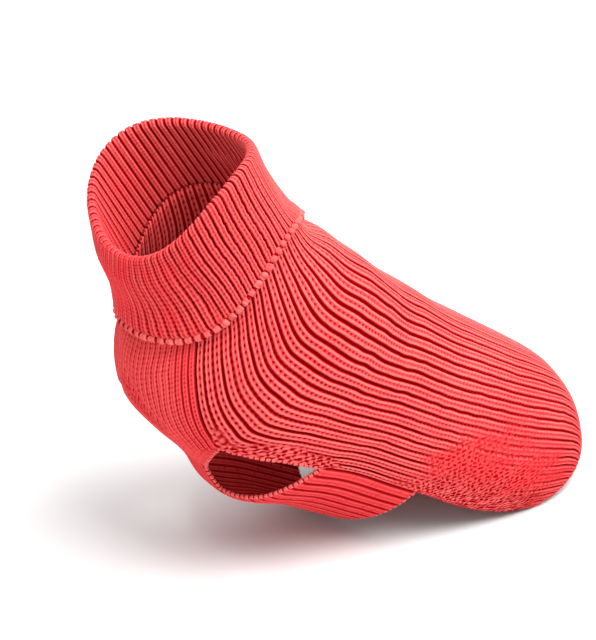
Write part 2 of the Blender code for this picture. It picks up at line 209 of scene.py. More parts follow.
def softNoise(seed, rib, stitch, ribStep, stitchStep):  # smooth values between -1 and 1
    a, b = np.broadcast_arrays(rib / ribStep, stitch / stitchStep)
    i, j = np.floor(a).astype(int), np.floor(b).astype(int)
    i, j, s, t = i - i.min(), j - j.min(), a - np.floor(a), b - np.floor(b)
    table = np.random.default_rng(seed).uniform(-1, 1, (i.max() + 2, j.max() + 2))
    s, t = s * s * (3 - 2 * s), t * t * (3 - 2 * t)
    low = table[i, j] * (1 - t) + table[i, j + 1] * t
    high = table[i + 1, j] * (1 - t) + table[i + 1, j + 1] * t
    return low * (1 - s) + high * s


def ribPlaces(ribs, places):
    return np.concatenate([(np.arange(ribs)[:, None] + np.array(places)[None, :]).ravel(), [ribs]])


def lineFrame(x0, y0, x1, y1, x, y):  # a line's length, and how far along it and beside it each place is
    length = math.hypot(x1 - x0, y1 - y0)
    dx, dy = (x1 - x0) / length, (y1 - y0) / length
    return length, (x - x0) * dx + (y - y0) * dy, (y - y0) * dx - (x - x0) * dy


def creaseField(creases, x, y):  # depth and sideways pull of the listed folds, all in mm
    depth = np.zeros(x.shape)
    pull = np.zeros(x.shape)
    for x0, y0, x1, y1, width, deep, shift in creases:
        length, s, d = lineFrame(x0, y0, x1, y1, x, y)
        bow = foldShape["sunkBow"] if deep > 0 else foldShape["raisedBow"]
        d = d + bow * length * np.sin(np.pi * np.clip(s / length, 0, 1))
        outside, inside = foldShape["fadeOutside"] * length, foldShape["fadeInside"] * length
        hump = np.exp(-((d / width) ** 2)) * between(-outside, inside, length - inside, length + outside, s)
        depth += deep * hump
        pull += shift * (d / width) * hump
    return depth, pull


def ribRelief(rib, stitch, pit, moss, look):  # depth under the cloth's face, in mm
    fromTop = np.abs(2 * (rib % 1) - 1)  # 0 along a rib's middle, 1 in the grooves beside it
    beat = 0.5 + 0.5 * np.cos(2 * np.pi * stitch)
    strand = ribShape["strandPlace"]
    groove = np.clip((fromTop - strand) / (1 - strand), 0, 1) ** ribShape["grooveSharpness"]
    crease = np.clip(1 - fromTop / strand, 0, 1) ** ribShape["creaseSharpness"]
    crease = crease * (look["creaseDepth"] + look["pitDepth"] * pit * beat)
    loops = -look["loopHeight"] * (1 - beat) * (1 - fromTop**4)
    uneven = look["uneven"] * softNoise(7, rib, stitch, 1.0, 4.0)
    uneven = uneven + 0.5 * look["uneven"] * softNoise(9, rib, stitch, 0.5, 1.0)
    ribbed = look["grooveDepth"] * groove + crease + loops + uneven
    lump = np.cos(2 * np.pi * rib) * np.cos(np.pi * stitch) + 0.5 * softNoise(11, rib, stitch, 0.5, 1.0)
    mossy = look["mossDepth"] + look["mossRelief"] * lump
    return ribbed * (1 - moss) + mossy * moss - look["proud"]


def rolledEdge(depth, toEdge, look):  # the cloth rolls inwards over the last mm before an edge
    rolled = 1 - softStep(0.0, look["rolledReach"], toEdge)
    return depth * (1 - rolled) + look["rolledDepth"] * rolled


def settled(depth, folds, along, toEdge, look):  # pressed down under the collar, rolled in at the edges
    hidden = 1 - softStep(*look["coveredRows"], along)
    pressed = ribShape["pressedDepth"] + ribShape["pressedRelief"] * np.maximum(depth, 0)
    depth = np.maximum(depth, depth * (1 - hidden) + pressed * hidden)
    return np.minimum(rolledEdge(depth, toEdge, look), look["deepest"] + np.maximum(folds, 0))


def numbered(grid):  # a grid of points' numbers
    return np.arange(grid.shape[0] * grid.shape[1]).reshape(grid.shape[:2])


def cells(ids):  # the four corners of each cell of a grid
    return np.stack([ids[:-1, :-1], ids[:-1, 1:], ids[1:, 1:], ids[1:, :-1]], axis=-1)


def closedShell(name, outer, inner, keep, maps, rowStep, columnStep):
    # outer and inner are grids of points in mm, the inner one with fewer rows and columns
    # keep marks the inner grid's cells that are cloth, and maps holds the outer grid's values
    out = numbered(outer)
    inn = numbered(inner) + out.size
    fine = np.repeat(np.repeat(keep, rowStep, axis=0), columnStep, axis=1)
    faces = cells(out)[fine].tolist() + cells(inn.T).transpose(1, 0, 2)[keep].tolist()
    marked = np.pad(keep, 1)

    def rims(out, inn, marked, steps, turned):  # where cloth ends along the rows of a grid
        for r in range(inn.shape[0]):
            for c in range(inn.shape[1] - 1):
                above, below = marked[r, c + 1], marked[r + 1, c + 1]
                if above != below:
                    rim = out[r * steps[0], c * steps[1] : (c + 1) * steps[1] + 1].tolist()
                    rim += [inn[r, c + 1], inn[r, c]]
                    faces.append(rim if above != turned else rim[::-1])

    rims(out, inn, marked, (rowStep, columnStep), False)
    rims(out.T, inn.T, marked.T, (columnStep, rowStep), True)
    points = np.concatenate([outer.reshape(-1, 3), inner.reshape(-1, 3)])
    values = {key: np.concatenate([grid.ravel(), grid[::rowStep, ::columnStep].ravel()])
              for key, grid in maps.items()}
    return finishMesh(name, points, faces, values)


def finishMesh(name, points, faces, values):
    data = bpy.data.meshes.new(name)
    data.from_pydata(((points - withers) * mm).tolist(), [], faces)
    data.update()
    corners = np.empty(len(data.loops), dtype=int)
    data.loops.foreach_get("vertex_index", corners)
    knit = data.uv_layers.new(name="knit")
    pairs = np.stack([values["rib"][corners], values["stitch"][corners]], axis=-1)
    knit.data.foreach_set("uv", pairs.ravel())
    for key in pointValues:
        layer = data.attributes.new(key, "FLOAT", "POINT")
        layer.data.foreach_set("value", values[key].astype(np.float32))
    piece = bpy.data.objects.new(name, data)
    bpy.context.collection.objects.link(piece)
    shape = bmesh.new()
    shape.from_mesh(data)
    bmesh.ops.remove_doubles(shape, verts=shape.verts, dist=1e-7)
    loose = [v for v in shape.verts if not v.link_faces]
    bmesh.ops.delete(shape, geom=loose, context="VERTS")
    openEdges = sum(len(e.link_faces) != 2 for e in shape.edges)
    shape.to_mesh(data)
    shape.free()
    data.shade_smooth()
    triangles = sum(len(p.vertices) - 2 for p in data.polygons)
    print(f"{name}: {triangles} triangles, {openEdges} open edges")
    return piece


def knitGrid(rib, wide, along, look):  # values all over a panel, and its inner cells marked as cloth
    stitch = np.arange(len(along))[:, None] / 2
    rows, columns = along[:: look["rowStep"], :: look["columnStep"]].shape
    grids = [np.broadcast_to(values, along.shape) for values in (rib, stitch, wide)]
    return *grids, np.ones((rows - 1, columns - 1), dtype=bool)


def makePanel(name, look, along, roundShare, depth, folds, toEdge, maps, keep, material):
    step, skip = look["rowStep"], look["columnStep"]
    ridge = np.abs(2 * (maps["rib"] % 1) - 1) ** 2
    under = innerDepth - look["innerRelief"] * (1 - ridge) + folds  # the inner face echoes the ribs
    outer = onSkin(bodySkin, along, roundShare, settled(depth + folds, folds, along, toEdge, look))
    inner = onSkin(bodySkin, along[::step, ::skip], roundShare[::step, ::skip], under[::step, ::skip])
    piece = closedShell(name, outer, inner, keep, maps, step, skip)
    piece.data.materials.append(material)
    return piece, outer, inner


# one red yarn: colours from the raised strands down to the grooves, its fuzz, and the ranges of
# hollow and flat over which one colour gives way to the next; the strands' lighter red is a painted
# highlight, and the shade and groove reds are painted shade in the hollows and grooves
yarn = {
    # strand is a painted highlight, face the yarn's own red, and the open red a flat saturated red for flat and
    # moss-stitch cloth, partly its own look and partly painted soft shade
    "strand": (0.730, 0.132, 0.124), "face": (0.480, 0.024, 0.030), "open": (0.700, 0.030, 0.039),
    "shade": (0.370, 0.005, 0.008), "groove": (0.205, 0.000, 0.001),
    "roughness": 0.9, "specular": 0.01, "bumpDistance": 0.0006,
    "fibre": (1500, 3.0, 0.6), "fibreTone": 0.7, "fibreBump": 0.16,  # noises: scale, detail, roughness
    "patches": (26, 2.0, 0.5), "patchTone": 0.5, "baseTone": -0.42, "strandTone": 0.75,
    "openRange": (0.2, 0.9), "mossOpen": 0.05, "mostOpen": 0.85,
    "shadeRange": (0.03, 0.66), "grooveRange": (0.50, 0.90),
}
# what differs from piece to piece; lift lightens a piece's yarn as a painted highlight, most on the edge chains,
# deepest is how far the grooves go to the painted groove shade, and openness is for ribbed and for flat cloth:
# the chest's high openness gives it mostly the open red, painted soft shade
yarnColumns = ("grooveStart", "creaseStrength", "pitStrength", "pitReach", "deepest", "lift", "bump", "openness")
yarnLooks = {
    "collarYarn": (0.42, 0.16, 0.66, 0.34, 1.0, 0.05, 0.7, (0.12, 0.85)),
    "backYarn": (0.44, 0.14, 0.80, 0.34, 1.0, 0.06, 0.7, (0.0, 0.7)),
    "chestYarn": (0.46, 0.00, 0.50, 0.60, 0.20, 0.04, 0.7, (0.62, 0.42)),
    "edgeYarn": (0.55, 0.0, 0.0, 0.34, 0.4, 0.45, 0.4, (0.0, 0.0)),
}
# the pattern of ribs and moss stitch; a range's first two values come in, its last two go out
knitPattern = {
    "legSlant": -0.42, "legSharpness": 3.0, "legRange": (0.35, 0.75, 0.05, 0.42),
    "beatSharpness": 1.5, "flatDashes": -0.7, "grooveEnd": 0.93, "creaseStart": 0.04,
    "jumble": (0.7, 1.0, 0.5), "strandRise": (0.14, 0.44), "strandFall": (0.62, 0.82),
    "mossSlant": 1.8, "mossStitchTurns": 0.625, "mossRibTurns": 1.15, "mossShift": 8.0, "mossTilt": -5.0,
    "mossRange": (-0.15, 0.7, 0.12, 0.88), "mossFlat": -0.4, "mossPlain": -0.75,
    "loopRange": (-0.05, -0.6), "loopPits": (0.6, 0.9),
}


def addNode(tree, kind, inputs=None, **settings):
    node = tree.nodes.new(kind)
    for key, value in settings.items():
        setattr(node, key, value)
    for key, value in (inputs or {}).items():
        if isinstance(value, bpy.types.NodeSocket):
            tree.links.new(value, node.inputs[key])
        else:
            node.inputs[key].default_value = value
    return node


def calc(tree, operation, *values, clamp=False):
    node = addNode(tree, "ShaderNodeMath", dict(enumerate(values)), operation=operation, use_clamp=clamp)
    return node.outputs[0]


def remap(tree, value, low, high, toLow=0.0, toHigh=1.0):
    node = addNode(tree, "ShaderNodeMapRange", {
        "Value": value, "From Min": low, "From Max": high, "To Min": toLow, "To Max": toHigh,
    }, interpolation_type="SMOOTHSTEP")
    return node.outputs["Result"]


def noise(tree, place, scale, detail, roughness):
    node = addNode(tree, "ShaderNodeTexNoise", {
        "Vector": place, "Scale": scale, "Detail": detail, "Roughness": roughness,
    })
    return node.outputs["Fac"]


def mixColours(tree, share, first, second):  # a Mix node's sockets for colours have these numbers
    return addNode(tree, "ShaderNodeMix", {0: share, 6: first, 7: second}, data_type="RGBA").outputs[2]


def makeKnitGroup():
    group = bpy.data.node_groups.new("ribbedKnit", "ShaderNodeTree")
    taken = ("Rib", "Stitch", "Pit", "Moss", "Flat", "Groove Start", "Crease Strength", "Pit Strength", "Pit Reach")
    for way, names in (("INPUT", taken), ("OUTPUT", ("Hollow", "Strand", "Height"))):
        for name in names:
            group.interface.new_socket(name, in_out=way, socket_type="NodeSocketFloat")
    given = group.nodes.new("NodeGroupInput").outputs
    result = group.nodes.new("NodeGroupOutput")
    look = knitPattern
    turn = 2 * math.pi

    def times(first, second):
        return calc(group, "MULTIPLY", first, second)

    def scaled(value, factor, offset):
        return calc(group, "MULTIPLY_ADD", value, factor, offset)

    def wave(value, sharpness):  # a cosine from 0 to 1, to a power
        return calc(group, "POWER", scaled(calc(group, "COSINE", value), 0.5, 0.5), sharpness)

    # Hollow is how deep each place lies: grooves, pits along the ribs' middles and the slanted legs between
    # stitches; the yarn paints shade by it
    fromTop = calc(group, "ABSOLUTE", scaled(calc(group, "FRACT", given["Rib"]), 2.0, -1.0))
    legWave = wave(times(scaled(fromTop, look["legSlant"], given["Stitch"]), turn), look["legSharpness"])
    beat = wave(times(given["Stitch"], turn), look["beatSharpness"])
    dashes = times(given["Flat"], scaled(beat, look["flatDashes"], 1.0))
    shown = calc(group, "SUBTRACT", 1.0, dashes, clamp=True)
    groove = times(remap(group, fromTop, given["Groove Start"], look["grooveEnd"]), shown)
    dotted = scaled(times(beat, given["Pit"]), given["Pit Strength"], given["Crease Strength"])
    crease = times(remap(group, fromTop, look["creaseStart"], given["Pit Reach"], 1.0, 0.0), dotted)
    spread = addNode(group, "ShaderNodeCombineXYZ", {"X": given["Rib"], "Y": given["Stitch"]}).outputs[0]
    jumble = noise(group, spread, *look["jumble"])
    legs = times(legWave, remap(group, jumble, *look["legRange"]))
    ribbed = calc(group, "MAXIMUM", calc(group, "MAXIMUM", groove, crease), legs)

    # moss stitch: lumps set like a chequerboard, which the jumble shifts and tilts; the yarn paints shade between
    # the lumps
    chevron = scaled(fromTop, look["mossSlant"], times(given["Stitch"], look["mossStitchTurns"] * turn))
    shifted = scaled(jumble, look["mossShift"], chevron)
    tilted = scaled(jumble, look["mossTilt"], times(given["Rib"], look["mossRibTurns"] * turn))
    lumps = times(calc(group, "COSINE", tilted), calc(group, "COSINE", shifted))
    mossy = times(remap(group, lumps, *look["mossRange"]), scaled(given["Flat"], look["mossFlat"], 1.0))
    hollow = scaled(calc(group, "SUBTRACT", mossy, ribbed), given["Moss"], ribbed)

    # strands that catch the light: on both sides of a rib, and on open loops in the moss stitch
    sides = times(remap(group, fromTop, *look["strandRise"]), remap(group, fromTop, *look["strandFall"], 1.0, 0.0))
    strand = times(sides, scaled(given["Moss"], look["mossPlain"], 1.0))
    loops = times(remap(group, lumps, *look["loopRange"]), remap(group, given["Pit"], *look["loopPits"]))
    loops = times(loops, given["Moss"])
    strand, height = calc(group, "MAXIMUM", strand, loops), calc(group, "SUBTRACT", 1.0, hollow)
    for name, value in (("Hollow", hollow), ("Strand", strand), ("Height", height)):
        group.links.new(value, result.inputs[name])
    return group


knitGroup = makeKnitGroup()


def makeYarn(name):
    look = dict(zip(yarnColumns, yarnLooks[name]))
    material = bpy.data.materials.new(name)
    material.use_nodes = True
    tree = material.node_tree
    shader = tree.nodes["Principled BSDF"]
    place = addNode(tree, "ShaderNodeUVMap", uv_map="knit")
    parts = addNode(tree, "ShaderNodeSeparateXYZ", {"Vector": place.outputs["UV"]})
    pit, moss, flat = [
        addNode(tree, "ShaderNodeAttribute", attribute_name=key).outputs["Fac"] for key in pointValues]
    knit = addNode(tree, "ShaderNodeGroup", {
        "Rib": parts.outputs["X"], "Stitch": parts.outputs["Y"], "Pit": pit, "Moss": moss, "Flat": flat,
        "Groove Start": look["grooveStart"], "Crease Strength": look["creaseStrength"],
        "Pit Strength": look["pitStrength"], "Pit Reach": look["pitReach"],
    }, node_tree=knitGroup)
    coordinates = addNode(tree, "ShaderNodeTexCoord").outputs["Object"]
    fibre, patches = noise(tree, coordinates, *yarn["fibre"]), noise(tree, coordinates, *yarn["patches"])
    # tone: random patches and fibre in the yarn, raised by the piece's lift, a painted highlight
    tone = calc(tree, "MULTIPLY_ADD", patches, yarn["patchTone"], look["lift"] + yarn["baseTone"])
    tone = calc(tree, "MULTIPLY_ADD", fibre, yarn["fibreTone"], tone)
    light = calc(tree, "MULTIPLY_ADD", knit.outputs["Strand"], yarn["strandTone"], tone, clamp=True)
    openFlat = remap(tree, flat, *yarn["openRange"], *look["openness"])
    opened = calc(tree, "MINIMUM", calc(tree, "MULTIPLY_ADD", moss, yarn["mossOpen"], openFlat), yarn["mostOpen"])
    # the yarn's own red and the strands' painted highlight, then the open red, then painted shade in the hollows
    # and darker painted shade in the grooves
    plain = mixColours(tree, light, (*yarn["face"], 1), (*yarn["strand"], 1))
    raised = mixColours(tree, opened, plain, (*yarn["open"], 1))
    shaded = remap(tree, knit.outputs["Hollow"], *yarn["shadeRange"])
    soft = mixColours(tree, shaded, raised, (*yarn["shade"], 1))
    deep = remap(tree, knit.outputs["Hollow"], *yarn["grooveRange"], 0.0, look["deepest"])
    colour = mixColours(tree, deep, soft, (*yarn["groove"], 1))
    tree.links.new(colour, shader.inputs["Base Color"])
    height = calc(tree, "MULTIPLY_ADD", fibre, yarn["fibreBump"], knit.outputs["Height"])
    relief = addNode(tree, "ShaderNodeBump", {
        "Height": height, "Strength": look["bump"], "Distance": yarn["bumpDistance"],
    })
    tree.links.new(relief.outputs["Normal"], shader.inputs["Normal"])
    shader.inputs["Roughness"].default_value = yarn["roughness"]
    shader.inputs["Specular IOR Level"].default_value = yarn["specular"]
    return material


collarYarn, backYarn, chestYarn, chainYarn = [makeYarn(name) for name in yarnLooks]
print("yarn mixed")

# places are a rib's columns of points across it, lengths are in mm, and coveredRows is where the
# collar's edge ends on it
backPanel = {
    "ribs": 45, "places": (0, 0.1, 0.28, 0.41, 0.5, 0.59, 0.72, 0.9),
    "stitches": 108, "shoulderStitch": 1.25, "shoulderEnd": (2.5, 5.5), "cornerReach": 3, "rumpStart": 8.6,
    "halfWidth": 104, "rowLength": 15.0, "measuredColumns": (0.0, 0.45, 0.9), "fineRows": 601,
    "grooveDepth": 2.0, "creaseDepth": 0.45, "pitDepth": 0.55, "loopHeight": 0.14, "uneven": 0.10,
    "mossDepth": 0.65, "mossRelief": 0.45, "proud": 0.25, "deepest": 2.35,
    "coveredRows": (0.7, 1.6), "rolledReach": 2.6, "rolledDepth": 1.35,
    "wobble": 0.26, "meander": 0.3, "innerRelief": 0.8, "rowStep": 3, "columnStep": 2,
    "ladderWidth": 0.24, "ladderHeight": 1.3, "ladderRows": (0.8, 1.4, 3.4, 4.0),
    # where the texture changes: rows along the body, and wide from 0 on the spine to 1 at the side edge
    "pits": 0.45, "shoulderPits": 0.5, "edgePits": 0.5, "unevenPits": 0.25, "rumpPits": 0.4,
    "shoulderRows": (3.5, 6.5), "shoulderWide": (0.2, 0.6), "edgeRows": (6.5, 8.0), "edgeWide": (0.86, 0.95),
    "rumpPitWide": (0.82, 0.95), "raggedCoarse": 0.45, "raggedFine": 0.25,
    "rumpMoss": {"row": 10.3, "rows": 2.2, "wide": 1, "reach": 0.40, "border": (0.35, 1.5)},
    "legMoss": {"row": 5.05, "rows": 1.7, "wide": 1.03, "reach": 0.13, "border": (0.6, 1.3)},
    # on this panel flat changes only the colour: it breaks the painted groove shade into dashes and brings in the
    # open red, more towards the sides and the rump
    "flat": 0.25, "unevenFlat": 0.3, "flatWide": (0.3, 0.8), "rearFlat": 0.35, "rearRows": (6.0, 10.0),
    "rumpFlat": 0.1, "rumpEdgeFlat": -0.5, "rumpFlatWide": (0.76, 0.94),
}

# how much wider the ribs are near the spine than at the sides
ribCrowding = ((0.0, 0.08), (2.0, 0.16), (8.0, 0.14), (11.0, 0.06), (15.0, 0.0))
# folds across the panel: start and end as mm from the neckline and from the spine, width,
# depth and sideways pull of the ribs
backCreases = (
    (96, 45, 152, 70, 7.0, 0.25, 0.12),
    (150, 40, 190, 62, 8.0, 0.3, 0.4),
    (28, 34, 62, 82, 8.0, 0.4, 0.3),
    (205, 24, 236, 55, 9.0, 0.3, 0.3),
    (84, -42, 140, -74, 7.0, 0.4, -0.5),
    (62, -58, 104, -86, 6.5, -0.3, -0.2),
    (146, -32, 188, -60, 8.5, 0.3, -0.4),
    (30, -38, 56, -78, 7.5, 0.4, -0.3),
    (196, -28, 232, -48, 9.0, 0.3, -0.3),
)


def seamAllowance(along):
    return 0.5 * cloth["seamGap"] * cloth["seamSlant"] / halfRound(bodySkin, along)


def backPlaces(rows, across):  # rows along the body for each column, and places round the rings
    hem = follow(rumpHem, np.abs(across))
    rump = np.clip((rows - backPanel["rumpStart"]) / (lastRow - backPanel["rumpStart"]), 0, 1)[:, None]
    along = rows[:, None] + rump * (hem[None, :] - lastRow)
    atEdge = follow(sideEdge, along) - seamAllowance(along)
    atSpine = follow(ribFlow, along)
    weight = np.abs(across[None, :]) ** backPanel["cornerReach"]
    spread = across[None, :] * (1 + follow(ribCrowding, along) * (1 - across[None, :] ** 2))
    return along, spread * (atSpine + weight * (atEdge - atSpine))


def rowLengths(rows):  # rows spaced as shoulderStitch says, and how far each lies from the neckline in mm
    look = backPanel
    fine = np.linspace(0.0, lastRow, look["fineRows"])
    lengths = 0
    for across in look["measuredColumns"]:
        along, roundShare = backPlaces(fine, np.array([across]))
        line = onSkin(bodySkin, along, roundShare, np.zeros(along.shape))[:, 0]
        lengths = lengths + np.linalg.norm(np.diff(line, axis=0), axis=-1)
    lengths = lengths / len(look["measuredColumns"])
    middle = (fine[1:] + fine[:-1]) / 2
    spacing = look["shoulderStitch"] + (1 - look["shoulderStitch"]) * softStep(*look["shoulderEnd"], middle)
    walked = np.concatenate([[0], np.cumsum(lengths / spacing)])
    found = np.interp(np.linspace(0, walked[-1], rows + 1), walked, fine)
    return found, np.interp(found, fine, np.concatenate([[0], np.cumsum(lengths)]))


def mossPatch(patch, along, wide, ragged):  # 1 well inside a patch of moss stitch, 0 outside it
    rows = (along - patch["row"]) / patch["rows"]
    columns = (patch["wide"] - wide) / patch["reach"]
    return 1 - softStep(*patch["border"], rows**2 + columns**2 + ragged)


def makeBackPanel():
    look = backPanel
    rib = ribPlaces(look["ribs"], look["places"])
    across = 2 * rib / look["ribs"] - 1
    rows, down = rowLengths(2 * look["stitches"])
    along, roundShare = backPlaces(rows, across)
    rib, stitch, wide, keep = knitGrid(rib, np.abs(across), along, look)
    down = np.broadcast_to(down[:, None], along.shape)
    fold, pull = creaseField(backCreases, down, across * look["halfWidth"])

    ragged = look["raggedCoarse"] * softNoise(23, rib, stitch, 2.0, 7.0)
    ragged = ragged + look["raggedFine"] * softNoise(25, rib, stitch, 1.0, 3.0)
    rumpMoss = mossPatch(look["rumpMoss"], along, wide, ragged)
    legMoss = mossPatch(look["legMoss"], along, wide, ragged)
    moss = np.clip(rumpMoss + legMoss, 0, 1)
    shoulderPits = (1 - softStep(*look["shoulderRows"], along)) * softStep(*look["shoulderWide"], wide)
    edgePits = softStep(*look["edgeWide"], wide) * (1 - softStep(*look["edgeRows"], along))
    pit = look["pits"] + look["shoulderPits"] * shoulderPits + look["edgePits"] * edgePits
    pit = np.clip(pit, 0, 1) + look["unevenPits"] * softNoise(21, rib, stitch, 1.0, 5.0)
    pit = pit + look["rumpPits"] * rumpMoss * softStep(*look["rumpPitWide"], wide)
    flat = look["flat"] + look["unevenFlat"] * softNoise(27, rib, stitch, 1.0, 6.0)
    flat = np.clip(flat, 0, 1) * softStep(*look["flatWide"], wide)
    flat = flat + look["rearFlat"] * softStep(*look["rearRows"], along)
    rumpFlat = look["rumpFlat"] + look["rumpEdgeFlat"] * softStep(*look["rumpFlatWide"], wide)
    flat = flat + rumpMoss * rumpFlat

    pull = pull + look["wobble"] * softNoise(3, rib, stitch, 1.0, 2.2)
    pull = pull + look["meander"] * softNoise(5, rib, stitch, 6.0, 9.0)
    inside = 1 - wide**8  # the folds and the wobble end before the seams
    roundShare = roundShare + pull * inside / halfRound(bodySkin, along)
    ladder = spot(rib, look["ribs"] - 1, look["ladderWidth"]) + spot(rib, 1, look["ladderWidth"])
    ladder = ladder * between(*look["ladderRows"], along)  # rungs across the outermost grooves
    depth = ribRelief(rib, stitch, pit, moss, look)
    depth = depth - look["ladderHeight"] * ladder * (0.5 - 0.5 * np.cos(2 * np.pi * stitch))
    toHem = (rows[-1] - rows)[:, None] * look["rowLength"]
    maps = {"rib": rib, "stitch": stitch, "pit": pit, "moss": moss, "flat": flat}
    return makePanel("backPanelKnit", look, along, roundShare, depth, fold * inside, toHem, maps, keep, backYarn)


backPiece, backOuter, backInner = makeBackPanel()

# stripShare is the width of the strip between the leg holes, bellyHem the row where the panel ends
chestPanel = {
    "stripRibs": 2, "sideRibs": 10, "stripShare": 0.155, "places": (0, 0.1, 0.26, 0.4, 0.5, 0.6, 0.74, 0.9),
    "chestRows": 76, "stripRows": 14, "bellyRows": 40, "bellyHem": 8.6,
    "halfWidth": 46, "rowLength": 21, "hemRowLength": 22.0,
    "grooveDepth": 1.4, "creaseDepth": 0.25, "pitDepth": 0.4, "loopHeight": 0.12, "uneven": 0.10,
    "mossDepth": 0.5, "mossRelief": 0.3, "proud": 0.1, "deepest": 2.2,
    "coveredRows": (0.8, 1.8), "rolledReach": 2.4, "rolledDepth": 1.35,
    "wobble": 0.2, "innerRelief": 0.7, "rowStep": 2, "columnStep": 2,
    # where the texture changes: rows along the body, and wide from 0 in the middle to 1 at the seam
    "pits": 0.12, "rungPits": 0.88, "unevenPits": 0.2, "rungWide": (0.45, 0.85), "rungRows": (0.8, 1.8, 4.4, 5.0),
    "moss": 0.8, "unevenMoss": 0.4, "flat": 0.12, "unevenFlat": 0.22, "flatRelief": -0.3,
    "frontFlat": 0.72, "frontRows": (4.9, 6.0), "lowFlat": -0.32, "lowRows": (2.6, 4.2),
    "sideFlat": -0.8, "sideWide": (0.55, 0.9),
}
# folds on the chest: start and end as mm from the neckline and from the middle, width, depth
# and sideways pull of the ribs
chestCreases = (
    (22, 34, 40, 8, 6.0, 0.8, 0.4),
    (40, 40, 62, 16, 6.0, 0.7, 0.4),
    (24, -36, 44, -10, 6.5, 0.8, -0.4),
    (46, -38, 66, -14, 5.5, 0.6, -0.4),
    (8, -10, 30, 12, 7.0, 0.5, 0.2),
    (110, -24, 150, 18, 9.0, 0.6, 0.2),
    (45, -6, 70, 22, 2.2, 1.3, 0.0),
    (52, -16, 76, -32, 2.6, 0.9, 0.0),
)
# the turned-up cloth beside the first leg hole's fold: its line in the same mm, and how wide it is
chestTurnUp = {"line": (45, -6, 70, 22), "start": 0.5, "width": 9, "soften": 6}


def turnedUp(x, y):  # 1 on the cloth between the fold and the hole
    length, s, d = lineFrame(*chestTurnUp["line"], x, y)
    soften, width = chestTurnUp["soften"], chestTurnUp["width"]
    ends = between(-soften, soften, length - soften, length + soften, s)
    return ends * between(chestTurnUp["start"], soften, width, width + soften, -d)


def chestRound(along, across):
    front, rear = holeFront[-1][1], holeRear[-1][1]
    edge = follow(sideEdge, along)
    before, behind = follow(sideEdge, front), follow(sideEdge, rear)
    bridged = before + (behind - before) * (along - front) / (rear - front)
    edge = np.where((along > front) & (along < rear), bridged, edge) + seamAllowance(along)
    return 1 - across * (1 - edge)


def makeChestPanel():
    look = chestPanel
    stripRib = ribPlaces(look["stripRibs"], look["places"])
    sideRib = ribPlaces(look["sideRibs"], look["places"])
    strip = stripRib / look["stripRibs"] * look["stripShare"]
    beside = look["stripShare"] + (1 - look["stripShare"]) * sideRib / look["sideRibs"]
    half = np.concatenate([strip, beside[1:]])
    halfRib = np.concatenate([stripRib, look["stripRibs"] + sideRib[1:]])
    across = np.concatenate([-half[::-1], half[1:]])
    rib = np.concatenate([-halfRib[::-1], halfRib[1:]]) + look["stripRibs"] + look["sideRibs"]
    wide = np.abs(across)
    holeStart, holeEnd = follow(holeFront, wide), follow(holeRear, wide)
    chest = np.linspace(0, 1, look["chestRows"] + 1)[:, None]
    strips = np.linspace(0, 1, look["stripRows"] + 1)[1:, None]
    belly = np.linspace(0, 1, look["bellyRows"] + 1)[1:, None]
    along = np.concatenate([chest * holeStart, holeStart + strips * (holeEnd - holeStart),
                            holeEnd + belly * (look["bellyHem"] - holeEnd)])
    rib, stitch, wide, keep = knitGrid(rib, wide, along, look)
    x, y = along * look["rowLength"], across * look["halfWidth"]
    fold, pull = creaseField(chestCreases, x, y)

    rungs = softStep(*look["rungWide"], wide) * between(*look["rungRows"], along)
    pit = look["pits"] + look["rungPits"] * rungs
    pit = pit + look["unevenPits"] * softNoise(15, rib, stitch, 1.0, 4.0)
    moss = look["moss"] + look["unevenMoss"] * softNoise(41, rib, stitch, 1.0, 3.0)
    moss = turnedUp(x, y) * np.clip(moss, 0, 1)
    flat = look["frontFlat"] + look["lowFlat"] * softStep(*look["lowRows"], along)
    flat = flat * (1 - softStep(*look["frontRows"], along))
    flat = flat * (1 + look["sideFlat"] * softStep(*look["sideWide"], wide)) + look["flat"]
    flat = flat + look["unevenFlat"] * softNoise(19, rib, stitch, 1.0, 6.0)

    inside = (1 - wide**6) * softStep(0.0, 0.6, along)  # the folds and the wobble end before the seams
    pull = pull + look["wobble"] * softNoise(13, rib, stitch, 1.0, 2.0)
    placed = chestRound(along, wide) + pull * inside / halfRound(bodySkin, along)
    placed = np.where(placed > 1, 2 - placed, placed)
    roundShare = np.where(across < 0, -1.0, 1.0)[None, :] * placed
    depth = ribRelief(rib, stitch, pit, moss, look) * (1 + look["flatRelief"] * np.clip(flat, 0, 1))
    toHem = (look["bellyHem"] - along) * look["hemRowLength"]
    toHole = np.where(along <= holeStart + 1e-6, holeStart - along, along - holeEnd)
    toHole = np.where(wide >= look["stripShare"], np.abs(toHole) * look["rowLength"], toHem)
    toEdge = np.minimum(toHem, toHole)

    coarse = wide[0, :: look["columnStep"]]
    middle = (coarse[1:] + coarse[:-1]) / 2
    first = look["chestRows"] // look["rowStep"]
    keep[first : first + look["stripRows"] // look["rowStep"], middle > look["stripShare"]] = False
    maps = {"rib": rib, "stitch": stitch, "pit": pit, "moss": moss, "flat": flat}
    return makePanel("chestAndBellyKnit", look, along, roundShare, depth, fold * inside, toEdge, maps, keep,
                     chestYarn)


chestPiece, chestOuter, chestInner = makeChestPanel()

